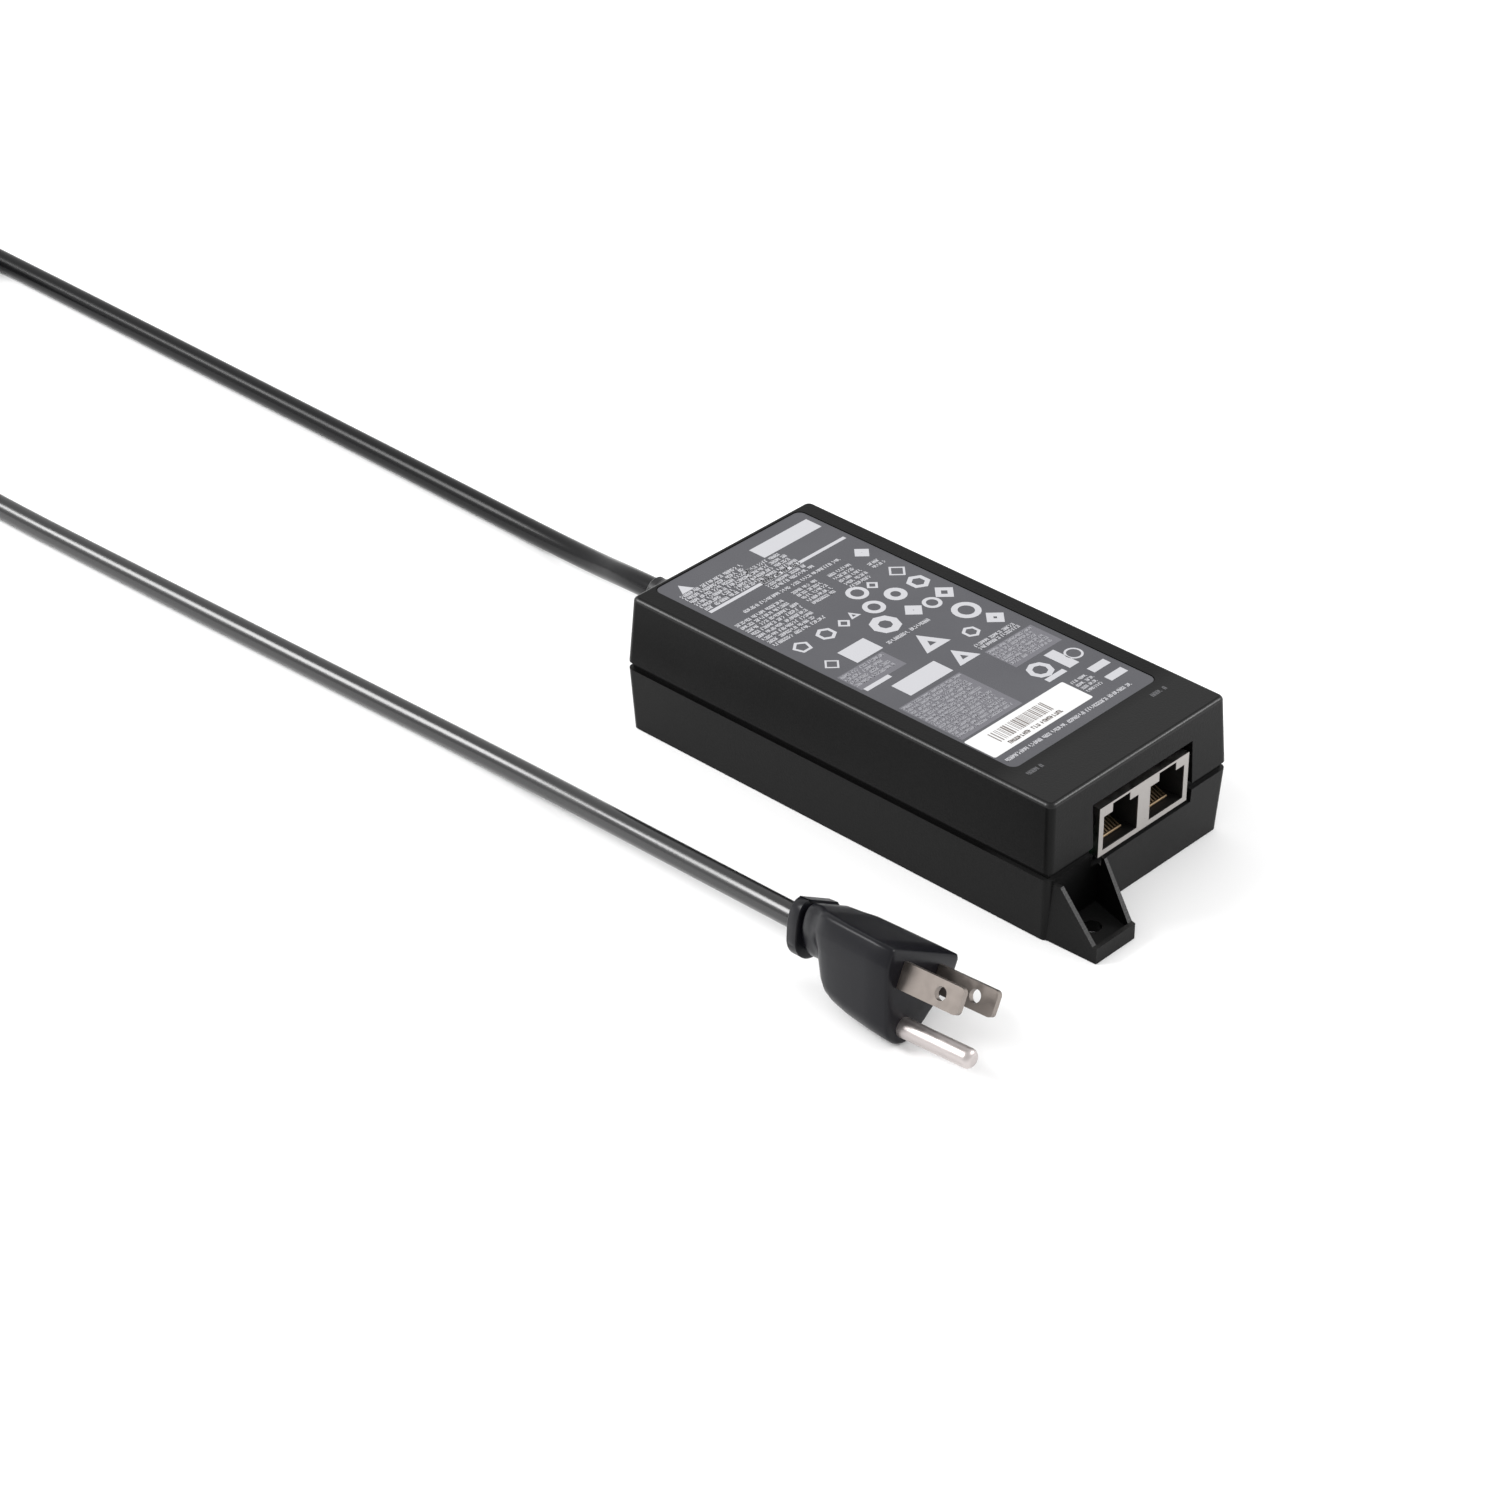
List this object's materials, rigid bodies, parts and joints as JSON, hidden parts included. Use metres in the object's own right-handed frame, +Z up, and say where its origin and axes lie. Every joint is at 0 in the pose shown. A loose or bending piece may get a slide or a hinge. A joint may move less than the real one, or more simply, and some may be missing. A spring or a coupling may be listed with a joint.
{
  "type": "power-over-ethernet injector",
  "caption": "Flat black power injector case with side-by-side network sockets, wall tabs, a recessed top label and a captive mains cord that ends in a grounded plug.",
  "frame": {"origin": "middle of the underside of the case, on the surface it stands on", "axes": "+Z up, +X to the right seen from the socket end, the socket end faces -Y and the cord leaves at +Y"},
  "size_m": [0.1204, 0.5362, 0.037],
  "materials": {
    "case_plastic": "fine textured matt black",
    "label_film": "dark grey printed film, light grey print",
    "sticker_paper": "white satin",
    "shield_metal": "nickel-plated sheet",
    "jack_plastic": "smooth black",
    "contact_gold": "gold-plated wire",
    "board_laminate": "green solder mask",
    "insulation_film": "matt film",
    "screw_steel": "zinc plated",
    "capacitor_box": "yellow moulded box",
    "chip_plastic": "moulded black",
    "heatsink_aluminium": "plain sheet",
    "capacitor_can": "sleeved can",
    "fuse_glass": "clear tube",
    "disc_coating": "dipped coating",
    "ferrite": "sintered grey",
    "copper_wire": "enamelled copper",
    "live_jacket": "black",
    "neutral_jacket": "white",
    "earth_jacket": "green",
    "relief_rubber": "satin black",
    "cord_jacket": "satin black",
    "tie_fabric": "black hook-and-loop strap",
    "plug_plastic": "satin black vinyl",
    "blade_metal": "nickel-plated brass",
    "pin_metal": "nickel-plated brass"
  },
  "bodies": {
    "injector": {"top_cover": "case_plastic", "bottom_cover": "case_plastic", "rating_label": "label_film", "serial_sticker": "sticker_paper", "jack_shield": "shield_metal", "jack_housing": "jack_plastic", "main_board": "board_laminate", "insulation_sheet": "insulation_film", "board_screw_front_left": "screw_steel", "board_screw_front_right": "screw_steel", "board_screw_rear_left": "screw_steel", "board_screw_rear_right": "screw_steel", "x_capacitor": "capacitor_box", "bridge_rectifier": "chip_plastic", "primary_heatsink": "heatsink_aluminium", "switching_transistor": "chip_plastic", "optocoupler": "chip_plastic", "secondary_heatsink": "heatsink_aluminium", "output_rectifier": "chip_plastic", "lan_transformer_1": "chip_plastic", "lan_transformer_2": "chip_plastic", "poe_controller_chip": "chip_plastic", "output_capacitor_1": "capacitor_can", "output_capacitor_2": "capacitor_can", "bulk_capacitor": "capacitor_can", "fuse": "fuse_glass", "varistor": "disc_coating", "y_capacitor": "disc_coating", "transformer_core": "ferrite", "transformer_winding": "copper_wire", "choke_core": "ferrite", "choke_winding_line": "copper_wire", "choke_winding_neutral": "copper_wire", "live_lead": "live_jacket", "neutral_lead": "neutral_jacket", "earth_lead": "earth_jacket", "strain_relief": "relief_rubber", "power_cord_case_run": "cord_jacket", "power_cord_plug_run": "cord_jacket", "cord_coil": "cord_jacket", "cord_tie": "tie_fabric", "plug_body": "plug_plastic", "line_blade": "blade_metal", "neutral_blade": "blade_metal", "ground_pin": "pin_metal"},
    "data_in_spring_wires": {"data_in_contacts": "contact_gold"},
    "power_out_spring_wires": {"power_out_contacts": "contact_gold"}
  },
  "joints": [
    {"name": "data_in_contact_flex", "type": "hinge", "parent": "injector", "child": "data_in_spring_wires", "pos_m": [-0.0066, -0.063, 0.0165], "axis": [-1, 0, 0], "range_deg": [0, 12], "stiffness_Nm_per_rad": 0.33},
    {"name": "power_out_contact_flex", "type": "hinge", "parent": "injector", "child": "power_out_spring_wires", "pos_m": [0.0102, -0.063, 0.0165], "axis": [-1, 0, 0], "range_deg": [0, 12], "stiffness_Nm_per_rad": 0.33}
  ]
}
